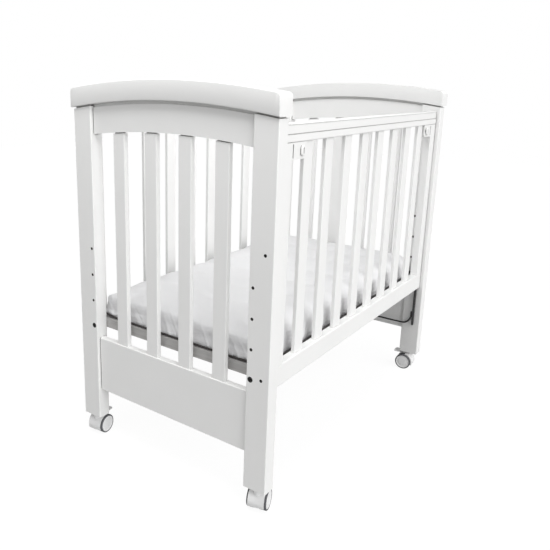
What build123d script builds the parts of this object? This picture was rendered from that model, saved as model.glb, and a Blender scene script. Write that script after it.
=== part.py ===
from build123d import *
import os
from math import cos, radians, sin, sqrt

# Baby cot with two arched end panels, a fixed back side, a drop side that runs on two
# steel guide rods, a slatted bed base, a mattress and four braked twin-wheel casters.
# Millimetres. +X runs from the foot end to the head end, -Y is the drop side, +Z is up,
# and the origin is on the floor under the middle of the cot.

# ---------------------------------------------------------------- driving dimensions
# mattress and the room around it
mattress_length = 900.0
mattress_width = 500.0
mattress_depth = 55.0
mattress_corner = 28.0
mattress_edge = 14.0
mattress_end_room = 5.0
mattress_side_room = 7.0
seat_gap = 0.3
overcut = 1.0

# posts
post_thickness = 35.0
post_width = 58.0
post_height = 817.0
post_edge = 2.5
post_reveal = 4.0
reveal_depth = 4.5

# end panels
panel_thickness = 18.0
panel_edge = 2.0
top_panel_depth = 70.0
panel_reveal = 7.5
joint_line = 2.0
lower_board_height = 147.0
lower_board_lift = 82.0
tongue_length = 8.0
tongue_thickness = 9.0
end_slat_count = 4
end_slat_width = 36.0
end_slat_thickness = 13.0
end_slat_reveal = 2.5

# cap rails
cap_height = 44.0
cap_thickness = 49.0
cap_end_overhang = 3.0
cap_rise = 22.6
cap_corner = 20.0
cap_top_edge = 15.0

# drop side and back side
side_thickness = 22.0
side_recess = 11.0
back_recess = 1.0
side_gap = 3.0
side_rail_edge = 3.0
side_slat_count = 8
side_slat_width = 36.0
side_slat_thickness = 10.0
slat_edge = 2.0
stile_width = 35.0
side_top_drop = 15.0
side_top_rail_height = 39.0
side_bottom_rail_height = 51.0
side_height = 567.0
tenon_length = 10.0
tenon_thickness = 6.0
tenon_shoulder = 4.0
joint_clearance = 0.1

# teething rail, a plastic channel clipped over the drop side's top rail
teething_height = 23.0
teething_gap = 2.0
teething_bead_drop = 2.6
teething_bead_width = 2.2
teething_bead_depth = 1.4
teething_wall = 2.0
teething_edge = 3.0
teething_end_inset = 2.0

# guide rods, their bosses, the welded link rods and the shoes that run on them
rod_radius = 4.0
rod_end_round = 2.4
rod_stand_off = 8.0
rod_inset = 20.5
rod_below_link = 2.0
rod_over_shoe = 30.0
rod_boss_radius = 3.5
rod_boss_drop = 7.0
rod_boss_pitch = 274.0
rod_bolt_radius = 2.5
rod_bolt_head_radius = 3.6
rod_bolt_head_height = 3.0
rod_bolt_reach = 4.0
rod_bolt_tip_room = 1.0
link_radius = 2.75
link_lift = 24.0
link_bend = 30.0
link_weld = 14.0
link_back_room = 100.0
clip_insets = (200.0, 140.0)
clip_width = 14.0
clip_height = 16.0
clip_wall = 3.0
clip_round = 4.0
shoe_lifts = (69.7, 264.7)
shoe_height = 20.0
shoe_slot_clearance = 0.3
shoe_front_wall = 1.2
shoe_back_room = 2.0
shoe_end_inset = 1.0
rebate_depth = 13.0
drop_travel = 150.0
rebate_head_room = 5.0

# side latches
latch_drop = 18.0
latch_pin_radius = 3.0
latch_pin_tip_gap = 1.0
latch_pin_bevel = 0.8
latch_pin_tail_length = 2.0
latch_travel = 6.0
latch_slat_room = 3.7
latch_housing_height = 35.0
latch_housing_corner = 9.0
latch_face_inset = 1.0
latch_knob_setback = 17.0
latch_knob_width = 14.0
latch_knob_height = 22.0
latch_knob_proud = 4.0
latch_knob_gap = 1.2
latch_knob_edge = 1.6
latch_grip_width = 3.0
latch_grip_height = 13.0
latch_grip_depth = 2.0
latch_block_width = 9.0
latch_block_height = 10.0
latch_chamber_height = 11.0
latch_slot_height = 6.6
latch_neck_height = 6.0
latch_seam_width = 3.5
latch_seam_inset = 3.0
latch_seam_depth = 5.5
latch_seam_end = 3.5
strike_depth = 12.0

# bed base and its bolts
base_thickness = 26.0
base_rail_width = 35.0
base_edge_room = 3.0
base_slat_count = 9
base_slat_width = 50.0
base_slat_thickness = 8.0
base_slat_seat = 12.0
base_slat_edge = 1.5
base_bolt_lift = 28.7
base_bolt_pitch = 68.5
base_bolt_inset = 10.4
spare_hole_radius = 3.25
base_bolt_radius = 3.0
base_bolt_head_radius = 6.5
base_bolt_head_height = 4.0
base_bolt_reach = 42.0
base_bolt_tip_room = 1.0
barrel_nut_radius = 5.0
barrel_nut_length = 16.0
barrel_nut_setback = 32.0
hex_key_radius = 2.6
hex_key_depth = 2.5

# dowels of the fixed back side
dowel_radius = 4.0
dowel_length = 36.0
dowel_spread = 16.0

# casters
caster_height = 60.0
caster_trail = 14.0
wheel_radius = 25.0
wheel_width = 18.0
tyre_wall = 3.6
tyre_edge = 1.2
hub_set_back = 0.4
hub_lip = 1.6
hub_groove = 1.4
hub_groove_depth = 1.0
hub_cover_radius = 12.0
web_thickness = 9.0
wheel_side_gap = 0.8
wheel_gap = 1.2
hood_wall = 2.6
hood_width = 38.0
hood_front_angle = 200.0
hood_back_angle = 100.0
boss_radius = 9.5
boss_top = 55.0
axle_radius = 3.0
axle_bite = 11.0
running_clearance = 0.05
stem_radius = 4.0
stem_reach = 30.0
stem_foot = 47.5
socket_wall = 2.4
socket_flange_radius = 11.0
socket_flange = 2.0
socket_cap = 2.0
brake_pin_radius = 1.5
brake_pin_height = 50.4
brake_pin_place = 26.0
brake_boss_radius = 3.2
brake_lug_radius = 2.6
brake_width = 30.0
brake_length = 22.0
brake_thickness = 2.4
brake_lug_width = 3.0
brake_corner = 6.0
caster_turns = {
    "foot_front": 15.0,
    "foot_back": 6.0,
    "head_front": 94.0,
    "head_back": 166.0,
}

# ---------------------------------------------------------------- derived sizes
interior_length = mattress_length + 2 * mattress_end_room
half_interior = interior_length / 2
half_length = half_interior + post_thickness
side_inset = side_recess + side_thickness
half_width = mattress_width / 2 + mattress_side_room + side_inset
arch_radius = (half_width**2 + cap_rise**2) / (2 * cap_rise)
arch_centre = caster_height + post_height + cap_rise - arch_radius
panel_middle = -half_length + post_thickness / 2
panel_half_span = half_width - post_width
lower_board_bottom = caster_height + lower_board_lift
lower_board_top = lower_board_bottom + lower_board_height
side_top_z = caster_height + post_height - side_top_drop
side_rail_bottom_z = side_top_z - side_top_rail_height
side_bottom_z = side_top_z - side_height
side_bottom_rail_top_z = side_bottom_z + side_bottom_rail_height
drop_front = -half_width + side_recess
drop_back = drop_front + side_thickness
drop_half_length = half_interior - side_gap
teething_seam = side_top_z - teething_height
rod_x = -half_interior + rod_stand_off
rod_y = -half_width + rod_inset
link_y = rod_y + rod_radius + link_radius
link_z = lower_board_bottom + link_lift
shoe_levels = [side_bottom_z + lift for lift in shoe_lifts]
rod_bottom = link_z - rod_below_link
rod_top = shoe_levels[-1] + shoe_height + rod_over_shoe
rod_bosses = [rod_top - rod_boss_drop - i * rod_boss_pitch for i in (1, 0)]
rebate_front = rod_y - rod_radius - shoe_slot_clearance - shoe_front_wall
base_bolt_z = side_bottom_z + base_bolt_lift
base_bottom = base_bolt_z - base_thickness / 2
base_top = base_bolt_z + base_thickness / 2
base_half_width = half_width - side_inset - base_edge_room
base_bolt_y = panel_half_span + base_bolt_inset
latch_z = side_rail_bottom_z - latch_drop
latch_y = (drop_front + drop_back) / 2
caster_x = half_length - post_thickness / 2
caster_y = half_width - post_width / 2


# ---------------------------------------------------------------- helpers
def block(x, y, z):
    """A box between two corners, each axis given as a (low, high) pair."""
    size = [high - low for low, high in (x, y, z)]
    middle = [(high + low) / 2 for low, high in (x, y, z)]
    return Pos(*middle) * Box(*size)


def pin_x(x_low, x_high, y, z, radius):
    """A round bar along X."""
    return Plane(origin=(x_low, y, z), z_dir=(1, 0, 0)) * extrude(Circle(radius), x_high - x_low)


def pin_y(y_low, y_high, x, z, radius):
    """A round bar along Y."""
    return Plane(origin=(x, y_low, z), z_dir=(0, 1, 0)) * extrude(Circle(radius), y_high - y_low)


def pin_z(z_low, z_high, x, y, radius):
    """A round bar along Z."""
    return Pos(x, y, z_low) * extrude(Circle(radius), z_high - z_low)


def eased(shape, axis, radius):
    """The shape with its edges along one axis rounded."""
    return fillet(shape.edges().filter_by(axis), radius)


def at_head(shape):
    """The same piece at the head end."""
    return mirror(shape, about=Plane.YZ)


def at_back(shape):
    """The same piece at the back."""
    return mirror(shape, about=Plane.XZ)


def save(name, *solids):
    """Writes one sub-part: a solid, or a group of like solids."""
    shape = solids[0] if len(solids) == 1 else Compound(children=list(solids))
    export_step(shape, f"parts/{name}.step")


def arch_z(y, rise=0.0):
    """Height of the cap rail's underside at y, or of a curve that runs a rise above it."""
    return arch_centre + sqrt((arch_radius + rise) ** 2 - y**2)


def arc_across(y, rise):
    """An arc from one y to another that runs a rise above the cap rail's underside."""
    return ThreePointArc(*[(at, arch_z(at, rise)) for at in (y[0], (y[0] + y[1]) / 2, y[1])])


def arched_board(x, y, z_low, rise=0.0):
    """A board across the cot with a level bottom and a top edge that follows the cap rail."""
    top = arc_across(y, rise)
    rest = Polyline(top @ 1, (y[1], z_low), (y[0], z_low), top @ 0)
    return extrude(Plane.YZ.offset(x[0]) * make_face(top + rest), x[1] - x[0])


def curved_board(x, y, rises):
    """A board across the cot whose lower and upper edges both follow the cap rail."""
    lower, upper = (arc_across(y, rise) for rise in rises)
    outline = lower + Line(lower @ 1, upper @ 1) + upper + Line(upper @ 0, lower @ 0)
    return extrude(Plane.YZ.offset(x[0]) * make_face(outline), x[1] - x[0])


def spaced(count, width, low, high):
    """Middles of equal bars that leave equal gaps between two faces."""
    gap = (high - low - count * width) / (count + 1)
    return [low + gap + width / 2 + i * (width + gap) for i in range(count)]


def tenoned_bar(x, y, z, width, thickness):
    """An upright bar of a side, with rounded edges and a stub tenon at each end."""
    half, deep = width / 2, thickness / 2
    bar = eased(block((x - half, x + half), (y - deep, y + deep), z), Axis.Z, slat_edge)
    half, deep = half - tenon_shoulder, tenon_thickness / 2
    core = (z[0] - tenon_length, z[1] + tenon_length)
    return bar + block((x - half, x + half), (y - deep, y + deep), core)


def mortise(x, y, z, width):
    """The pocket in a side's rail that a bar's tenon fills; z is (low, high)."""
    half = width / 2 - tenon_shoulder + joint_clearance
    deep = tenon_thickness / 2 + joint_clearance
    return block((x - half, x + half), (y - deep, y + deep), z)


# ---------------------------------------------------------------- end panels
def base_bolt_levels():
    """Heights of the four bolt holes for the bed base, lowest first."""
    return [base_bolt_z + i * base_bolt_pitch for i in range(4)]


def plain_post():
    """The foot end's front post with its panel grooves, base holes and caster hole."""
    outer, inner = -half_length, -half_interior
    span = (-half_width, -panel_half_span)
    post = arched_board((outer, inner), span, caster_height, -post_reveal)
    post = eased(post, Axis.Z, post_edge)
    post += arched_board(
        (outer + reveal_depth, inner - reveal_depth),
        (span[0] + reveal_depth, span[1] - reveal_depth),
        caster_height + post_height / 2,
    )
    groove = tongue_thickness / 2 + joint_clearance
    depth = tongue_length + joint_clearance
    across = (panel_middle - groove, panel_middle + groove)
    along = (-panel_half_span - depth, -panel_half_span + overcut)
    panel_low = arch_z(along[0], -top_panel_depth)
    post -= block(across, along, (panel_low, caster_height + post_height + cap_rise))
    post -= block(across, along, (lower_board_bottom, lower_board_top))
    y = -base_bolt_y
    lowest, *spare = base_bolt_levels()
    for z in spare:
        post -= pin_x(outer - overcut, inner + overcut, y, z, spare_hole_radius)
    bolt_hole = base_bolt_radius + joint_clearance
    post -= pin_x(outer - overcut, inner + overcut, y, lowest, bolt_hole)
    head_hole = base_bolt_head_radius + joint_clearance
    post -= pin_x(outer - overcut, outer + base_bolt_head_height, y, lowest, head_hole)
    socket_hole = stem_radius + socket_wall + joint_clearance
    top = caster_height + stem_reach + socket_cap + joint_clearance
    return post - pin_z(caster_height - overcut, top, -caster_x, -caster_y, socket_hole)


def front_post():
    """A post that carries a guide rod and the latch's strike hole."""
    outer, inner = -half_length, -half_interior
    post = plain_post()
    for z in rod_bosses:
        post -= pin_x(outer - overcut, inner + overcut, rod_y, z, rod_bolt_radius + joint_clearance)
        head_radius = rod_bolt_head_radius + joint_clearance
        post -= pin_x(outer - overcut, outer + rod_bolt_head_height, rod_y, z, head_radius)
    strike_radius = latch_pin_radius + seat_gap
    return post - pin_x(inner - strike_depth, inner + overcut, latch_y, latch_z, strike_radius)


def back_post():
    """A post that the fixed back side is dowelled to."""
    post = at_back(plain_post())
    for y, z in dowel_points():
        reach = dowel_length / 2 + joint_clearance
        post -= pin_x(-half_interior - reach, -half_interior + overcut, y, z, dowel_radius)
    return post


def is_underside_edge(edge):
    """True for a long edge of the cap rail's arched underside."""
    return edge.geom_type == GeomType.CIRCLE and abs(edge.radius - arch_radius) < overcut


def cap_rail():
    """The arched rail over an end, with round corners and a softened rim."""
    reach = half_width + cap_end_overhang
    faces = (panel_middle - cap_thickness / 2, panel_middle + cap_thickness / 2)
    rail = curved_board(faces, (-reach, reach), (0, cap_height))
    corners = rail.edges().filter_by(Axis.X).sort_by(Axis.Z)[-2:]
    rail = fillet(corners, cap_corner)
    rim = rail.faces().filter_by(Plane.YZ).edges()
    return fillet([e for e in rim if not is_underside_edge(e)], cap_top_edge)


def top_panel():
    """The arched board under a cap rail, tongued into both posts."""
    half, tongue = panel_thickness / 2, tongue_thickness / 2
    span, reach = panel_half_span - joint_line, panel_half_span + tongue_length
    faces = (panel_middle - half, panel_middle + half)
    board = curved_board(faces, (-span, span), (-top_panel_depth, -panel_reveal))
    faces = (panel_middle - tongue, panel_middle + tongue)
    board += curved_board(faces, (-reach, reach), (-top_panel_depth, 0))
    for y in end_slat_places():
        board -= slat_tenon(y, joint_clearance)
    return board


def lower_board():
    """The deep board at the bottom of an end, tongued into both posts."""
    half, tongue = panel_thickness / 2, tongue_thickness / 2
    span, reach = panel_half_span - joint_line, panel_half_span + tongue_length
    z = (lower_board_bottom, lower_board_top)
    board = block((panel_middle - half, panel_middle + half), (-span, span), z)
    board = eased(board, Axis.Y, panel_edge)
    board += block((panel_middle - tongue, panel_middle + tongue), (-reach, reach), z)
    for y in end_slat_places():
        board -= slat_tenon(y, joint_clearance)
    return board


def end_slat_places():
    """Middles of an end's slats, along Y."""
    return spaced(end_slat_count, end_slat_width, -panel_half_span, panel_half_span)


def slat_tenon(y, clearance=0.0):
    """The core of an end slat, which runs on into the panel and the board as its tenons."""
    deep, half = tenon_thickness / 2 + clearance, end_slat_width / 2 - tenon_shoulder + clearance
    faces = (panel_middle - deep, panel_middle + deep)
    foot = lower_board_top - tenon_length - clearance
    return arched_board(faces, (y - half, y + half), foot, tenon_length - top_panel_depth + clearance)


def end_slat(y):
    """An upright slat of an end, whose head follows the panel's arched edge."""
    deep, half = end_slat_thickness / 2, end_slat_width / 2
    faces = (panel_middle - deep, panel_middle + deep)
    bar = arched_board(faces, (y - half, y + half), lower_board_top, -top_panel_depth - end_slat_reveal)
    return eased(bar, Axis.Z, slat_edge) + slat_tenon(y)


# ---------------------------------------------------------------- drop side and back side
def side_slat_places(half_span):
    """Middles of a side's slats, along X, between its two stiles."""
    edge = half_span - stile_width
    return spaced(side_slat_count, side_slat_width, -edge, edge)


def side_rail(half_span, y_middle, z, pocket_at_top):
    """A rail of a side, with mortises for the stiles and slats in one edge."""
    half = side_thickness / 2
    rail = block((-half_span, half_span), (y_middle - half, y_middle + half), z)
    rail = eased(rail, Axis.X, side_rail_edge)
    pocket = (z[0] - overcut, z[0] + tenon_length)
    if pocket_at_top:
        pocket = (z[1] - tenon_length, z[1] + overcut)
    for x in side_slat_places(half_span):
        rail -= mortise(x, y_middle, pocket, side_slat_width)
    for x in (-half_span + stile_width / 2, half_span - stile_width / 2):
        rail -= mortise(x, y_middle, pocket, stile_width)
    return rail


def side_slats(half_span, y_middle):
    """The slats of a side."""
    z = (side_bottom_rail_top_z, side_rail_bottom_z)
    return [
        tenoned_bar(x, y_middle, z, side_slat_width, side_slat_thickness)
        for x in side_slat_places(half_span)
    ]


def side_stile(half_span, y_middle):
    """The foot-end upright of a side."""
    z = (side_bottom_rail_top_z, side_rail_bottom_z)
    x = -half_span + stile_width / 2
    return tenoned_bar(x, y_middle, z, stile_width, side_thickness)


def rod_rebate():
    """The space at the drop side's foot end that the guide rod stands in."""
    top = rod_top + drop_travel + rebate_head_room
    x = (-drop_half_length - overcut, -drop_half_length + rebate_depth)
    return block(x, (rebate_front, drop_back + overcut), (side_bottom_z - overcut, top))


def drop_stile():
    """The drop side's foot-end stile, rebated for the rod and bored for the latch pin."""
    stile = side_stile(drop_half_length, latch_y) - rod_rebate()
    bore = latch_pin_radius + running_clearance
    return stile - pin_x(
        -drop_half_length - overcut, -drop_half_length + stile_width + overcut, latch_y, latch_z, bore
    )


def drop_bottom_rail():
    """The drop side's bottom rail, rebated at both ends for the rods."""
    rail = side_rail(
        drop_half_length, latch_y, (side_bottom_z, side_bottom_rail_top_z), pocket_at_top=True
    )
    return rail - rod_rebate() - at_head(rod_rebate())


def soft_topped(shape, radius):
    """The shape with its two highest edges along X rounded."""
    return fillet(shape.edges().filter_by(Axis.X).sort_by(Axis.Z)[-2:], radius)


def teething_core():
    """The narrowed top of the wooden rail that fills the teething rail."""
    y = (drop_front + teething_wall, drop_back - teething_wall)
    z = (teething_seam - overcut, side_top_z - teething_wall)
    return soft_topped(block((-half_length, half_length), y, z), teething_edge - teething_wall)


def drop_top_rail():
    """The drop side's top rail, narrowed to carry the teething rail."""
    z = (side_rail_bottom_z, side_top_z)
    rail = side_rail(drop_half_length, latch_y, z, pocket_at_top=False)
    y = (drop_front - overcut, drop_back + overcut)
    around = block((-half_length, half_length), y, (teething_seam, z[1] + overcut))
    return rail - (around - teething_core())


def teething_rail():
    """The plastic channel over the top rail, with a moulded line along its front."""
    reach = drop_half_length - teething_end_inset
    x, low = (-reach, reach), teething_seam + teething_gap
    rail = soft_topped(block(x, (drop_front, drop_back), (low, side_top_z)), teething_edge)
    bead = side_top_z - teething_bead_drop
    depth = (drop_front - overcut, drop_front + teething_bead_depth)
    return rail - teething_core() - block(x, depth, (bead - teething_bead_width, bead))


def guide_shoe(low):
    """A nylon shoe in the stile's rebate, slotted to run on the guide rod."""
    inner = -drop_half_length + rebate_depth
    z = (low, low + shoe_height)
    outer = -drop_half_length + shoe_end_inset
    shoe = block((outer, inner), (rebate_front, drop_back - shoe_back_room), z)
    slot = rod_radius + shoe_slot_clearance
    through = (z[0] - overcut, z[1] + overcut)
    shoe -= pin_z(*through, rod_x, rod_y, slot)
    return shoe - block((-half_interior, rod_x), (rod_y - slot, rod_y + slot), through)


# ---------------------------------------------------------------- side latches
def latch_span():
    """The low and high x of the foot-end housing, between the stile and the first slat."""
    stile = -drop_half_length + stile_width
    slat = side_slat_places(drop_half_length)[0] - side_slat_width / 2
    return (stile, slat - latch_slat_room)


def latch_knob_x():
    """The x of the foot-end knob's middle."""
    return latch_span()[1] - latch_knob_setback


def latch_housing():
    """The moulded housing under the top rail, beside the foot-end stile."""
    x = latch_span()
    y = (drop_front + latch_face_inset, drop_back - latch_face_inset)
    z = (side_rail_bottom_z - latch_housing_height, side_rail_bottom_z)
    body = block(x, y, z)
    lower = body.edges().filter_by(Axis.Y).sort_by(Axis.Z)[:2].sort_by(Axis.X)[-1]
    body = fillet(lower, latch_housing_corner)
    half_block = latch_block_width / 2 + seat_gap
    chamber_x = (latch_knob_x() - half_block, latch_knob_x() + half_block + latch_travel)
    half_chamber = latch_chamber_height / 2
    body -= block(
        chamber_x,
        (latch_y - half_chamber, latch_y + half_chamber),
        (latch_z - half_chamber, latch_z + half_chamber),
    )
    half_slot = latch_slot_height / 2
    body -= block(chamber_x, (y[0] - overcut, latch_y), (latch_z - half_slot, latch_z + half_slot))
    bore = latch_pin_radius + running_clearance
    body -= pin_x(x[0] - overcut, latch_pin_tail() + latch_travel + seat_gap, latch_y, latch_z, bore)
    seam = (x[0] + latch_seam_inset, x[0] + latch_seam_inset + latch_seam_width)
    seam_z = (z[0] + latch_seam_end, z[1] - latch_seam_end)
    return body - block(seam, (y[0] - overcut, y[0] + latch_seam_depth), seam_z)


def latch_pin_tail():
    """The x where the foot-end latch pin ends behind its knob."""
    return latch_knob_x() + latch_block_width / 2 + latch_pin_tail_length


def latch_pin():
    """The steel pin that passes through the stile to the post."""
    tip = -half_interior + latch_pin_tip_gap
    pin = pin_x(tip, latch_pin_tail(), latch_y, latch_z, latch_pin_radius)
    return chamfer(pin.edges().sort_by(Axis.X)[0], latch_pin_bevel)


def latch_knob():
    """The oval finger knob, its neck and the block that holds the pin."""
    x = latch_knob_x()
    face = drop_front + latch_face_inset - latch_knob_gap
    front = Plane(origin=(x, face - latch_knob_proud, latch_z), x_dir=(1, 0, 0), z_dir=(0, 1, 0))
    oval = SlotOverall(latch_knob_height, latch_knob_width, rotation=90)
    knob = extrude(front * oval, latch_knob_proud)
    rim = knob.edges().group_by(Axis.Y)[0]
    knob = chamfer(rim, latch_knob_edge)
    grip = SlotOverall(latch_grip_height, latch_grip_width, rotation=90)
    knob -= extrude(front * grip, latch_grip_depth)
    half_neck = latch_neck_height / 2
    half_block = latch_block_width / 2
    neck_y = (face - overcut, latch_y)
    knob += block((x - half_neck, x + half_neck), neck_y, (latch_z - half_neck, latch_z + half_neck))
    half_tall = latch_block_height / 2
    knob += block(
        (x - half_block, x + half_block),
        (latch_y - half_tall, latch_y + half_tall),
        (latch_z - half_tall, latch_z + half_tall),
    )
    bore = latch_pin_radius + running_clearance
    return knob - pin_x(x - half_block - overcut, x + half_block + overcut, latch_y, latch_z, bore)


# ---------------------------------------------------------------- guide rods
def guide_rod():
    """The foot-end guide rod with its two welded bosses."""
    face = -half_interior
    rod = pin_z(rod_bottom, rod_top, rod_x, rod_y, rod_radius)
    rod = fillet(rod.edges().filter_by(GeomType.CIRCLE), rod_end_round)
    for z in rod_bosses:
        rod += pin_x(face, rod_x, rod_y, z, rod_boss_radius)
        rod -= pin_x(face - overcut, face + rod_bolt_reach + rod_bolt_tip_room, rod_y, z, rod_bolt_radius)
    return rod


def link_rod():
    """The thinner rod welded beside the guide rod, which bends to run across the end."""
    path = FilletPolyline(
        (link_y, link_z + link_bend + link_weld),
        (link_y, link_z),
        (half_width - link_back_room, link_z),
        radius=link_bend,
    )
    path = Plane.YZ.offset(rod_x) * path
    start = path @ 0
    section = Plane(origin=start, z_dir=path % 0) * Circle(link_radius)
    return sweep(section, path)


def clip_places():
    """Where the clips stand, as distances in from the front and the back."""
    front, back = clip_insets
    return (-half_width + front, half_width - back)


def rod_clip(y):
    """A moulded clip that stands on the lower board and holds the link rod."""
    board_face = panel_middle + panel_thickness / 2
    half_wide, half_tall = clip_width / 2, clip_height / 2
    reach = rod_x + link_radius + clip_wall
    span = (y - half_wide, y + half_wide)
    clip = block((board_face, reach), span, (link_z - half_tall, link_z + half_tall))
    clip = fillet(clip.edges().filter_by(Axis.Y).sort_by(Axis.X)[-2:], clip_round)
    bore = link_radius + running_clearance
    return clip - pin_y(y - half_wide - overcut, y + half_wide + overcut, rod_x, link_z, bore)


def rod_bolt(z):
    """A socket screw through the post into a rod boss."""
    face = -half_length
    bolt = pin_x(face, face + rod_bolt_head_height, rod_y, z, rod_bolt_head_radius)
    bolt += pin_x(face, -half_interior + rod_bolt_reach, rod_y, z, rod_bolt_radius)
    return bolt - hex_socket(face, rod_y, z, rod_bolt_head_radius / 2)


def hex_socket(face, y, z, radius):
    """The hexagon recess in a bolt head that looks towards -X."""
    outline = Plane(origin=(face - overcut, y, z), z_dir=(1, 0, 0)) * RegularPolygon(radius, 6)
    return extrude(outline, hex_key_depth + overcut)


# ---------------------------------------------------------------- bed base
def base_side_rail():
    """The front rail of the bed base, rebated for the slats and bored for its bolts."""
    y = (-base_half_width, -base_half_width + base_rail_width)
    rail = block((-half_interior, half_interior), y, (base_bottom, base_top))
    reach = half_interior - base_rail_width
    seat = (y[1] - base_slat_seat, y[1] + overcut)
    rail -= block((-reach, reach), seat, (base_top - base_slat_thickness, base_top + overcut))
    for side in (-1, 1):
        face = side * half_interior
        deep = face - side * (base_bolt_reach + base_bolt_tip_room)
        low, high = sorted((face + side * overcut, deep))
        rail -= pin_x(low, high, -base_bolt_y, base_bolt_z, base_bolt_radius + joint_clearance)
        x = face - side * barrel_nut_setback
        nut_hole = barrel_nut_radius + joint_clearance
        rail -= pin_z(base_bottom - overcut, barrel_top(), x, -base_bolt_y, nut_hole)
    return rail


def barrel_top():
    """The top of a barrel nut's hole."""
    return base_bolt_z + barrel_nut_length / 2


def base_end_rail():
    """The foot-end rail of the bed base, between the side rails."""
    reach = base_half_width - base_rail_width
    x = (-half_interior, -half_interior + base_rail_width)
    return block(x, (-reach, reach), (base_bottom, base_top))


def base_slats():
    """The cross slats that the mattress lies on."""
    reach = base_half_width - base_rail_width + base_slat_seat - joint_clearance
    edge = half_interior - base_rail_width
    places = spaced(base_slat_count, base_slat_width, -edge, edge)
    half = base_slat_width / 2
    z = (base_top - base_slat_thickness, base_top)
    return [eased(block((x - half, x + half), (-reach, reach), z), Axis.Y, base_slat_edge) for x in places]


def base_bolt():
    """A foot-end front bolt through the post into the base."""
    face = -half_length
    bolt = pin_x(face, face + base_bolt_head_height, -base_bolt_y, base_bolt_z, base_bolt_head_radius)
    bolt += pin_x(face, -half_interior + base_bolt_reach, -base_bolt_y, base_bolt_z, base_bolt_radius)
    return bolt - hex_socket(face, -base_bolt_y, base_bolt_z, hex_key_radius)


def base_nut():
    """The barrel nut that the foot-end front bolt screws into."""
    x = -half_interior + barrel_nut_setback
    half = barrel_nut_length / 2
    nut = pin_z(base_bolt_z - half, base_bolt_z + half, x, -base_bolt_y, barrel_nut_radius)
    bore, reach = base_bolt_radius + running_clearance, barrel_nut_radius + overcut
    return nut - pin_x(x - reach, x + reach, -base_bolt_y, base_bolt_z, bore)


def mattress():
    """The mattress as a plain soft block."""
    half_long, half_wide = mattress_length / 2, mattress_width / 2
    low = base_top + seat_gap
    pad = block((-half_long, half_long), (-half_wide, half_wide), (low, low + mattress_depth))
    pad = eased(pad, Axis.Z, mattress_corner)
    rims = pad.faces().sort_by(Axis.Z)
    return fillet(rims[0].edges() + rims[-1].edges(), mattress_edge)


# ---------------------------------------------------------------- back side
def back_middle():
    """The y of the fixed side's middle plane."""
    return half_width - back_recess - side_thickness / 2


def dowel_points():
    """The (y, z) of the back side's dowels: two in each rail's end, clear of the tenons."""
    levels = (
        (side_bottom_z + side_bottom_rail_top_z - tenon_length) / 2,
        (side_rail_bottom_z + side_top_z + tenon_length) / 2,
    )
    return [(back_middle(), z + sign * dowel_spread / 2) for z in levels for sign in (-1, 1)]


def back_dowels():
    """The foot-end dowels."""
    ends = (-half_interior - dowel_length / 2, -half_interior + dowel_length / 2)
    return [pin_x(*ends, y, z, dowel_radius) for y, z in dowel_points()]


def back_rail(z, pocket_at_top):
    """A rail of the fixed side, bored for dowels at both ends."""
    rail = side_rail(half_interior, back_middle(), z, pocket_at_top)
    reach = dowel_length / 2 + joint_clearance
    for y, level in dowel_points():
        if z[0] < level < z[1]:
            hole = pin_x(-half_interior - overcut, -half_interior + reach, y, level, dowel_radius)
            rail -= hole
            rail -= at_head(hole)
    return rail


# ---------------------------------------------------------------- casters
# Each caster is modelled about its stem: u is the way it trails, v runs along the axle.
def on_axle(v, radius, length):
    """A round bar about the axle that starts at v."""
    return pin_y(v, v + length, caster_trail, wheel_radius, radius)


def wheel_start():
    """The v where the outer wheel begins."""
    return web_thickness / 2 + wheel_side_gap


def tyre():
    """The rubber tyre of one wheel."""
    ring = on_axle(wheel_start(), wheel_radius, wheel_width)
    ring = chamfer(ring.edges().filter_by(GeomType.CIRCLE), tyre_edge)
    width = wheel_width + 2 * overcut
    return ring - on_axle(wheel_start() - overcut, wheel_radius - tyre_wall, width)


def hub():
    """The moulded hub of one wheel, with a dished cover and a blind axle hole."""
    rim, start = wheel_radius - tyre_wall, wheel_start()
    face = start + wheel_width - hub_set_back
    groove = rim - hub_lip - hub_groove
    profile = Polyline(
        (0, start), (rim, start), (rim, face), (rim - hub_lip, face), (groove, face - hub_groove_depth),
        (hub_cover_radius, face), (0, face), (0, start),
    )
    disc = Pos(caster_trail, 0, wheel_radius) * revolve(make_face(profile), Axis.Y)
    depth = axle_bite + seat_gap - start
    return disc - on_axle(start - overcut, axle_radius + running_clearance, depth + overcut)


def arc_point(radius, angle):
    """A point in the (u, z) plane about the axle."""
    return (
        caster_trail + radius * cos(radians(angle)),
        wheel_radius + radius * sin(radians(angle)),
    )


def slab(face, width):
    """A face in the (u, z) plane thickened equally to both sides of v = 0."""
    return extrude(Plane.XZ * face, width / 2, both=True)


def hood_angles():
    """The fender's back, crown and front as angles about the axle."""
    return (hood_back_angle, (hood_back_angle + hood_front_angle) / 2, hood_front_angle)


def fender():
    """The fender's section, an arc of even wall over the wheels."""
    inner = wheel_radius + wheel_gap
    over = ThreePointArc(*[arc_point(inner + hood_wall, a) for a in hood_angles()])
    under = ThreePointArc(*[arc_point(inner, a) for a in reversed(hood_angles())])
    return make_face(over + Line(over @ 1, under @ 0) + under + Line(under @ 1, over @ 0))


def hood_web():
    """The web between the wheels, from the fender round the axle and up to the brake pin."""
    crown = ThreePointArc(*[arc_point(mid_fender(), a) for a in hood_angles()])
    rest = Polyline(
        crown @ 1,
        (caster_trail, wheel_radius - web_thickness),
        (caster_trail + web_thickness, wheel_radius),
        (brake_pin_place + brake_pin_radius, brake_pin_height),
        (brake_pin_place, brake_pin_height + brake_pin_radius),
        crown @ 0,
    )
    return make_face(crown + rest)


def mid_fender():
    """The radius of the middle of the fender's wall."""
    return wheel_radius + wheel_gap + hood_wall / 2


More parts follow.
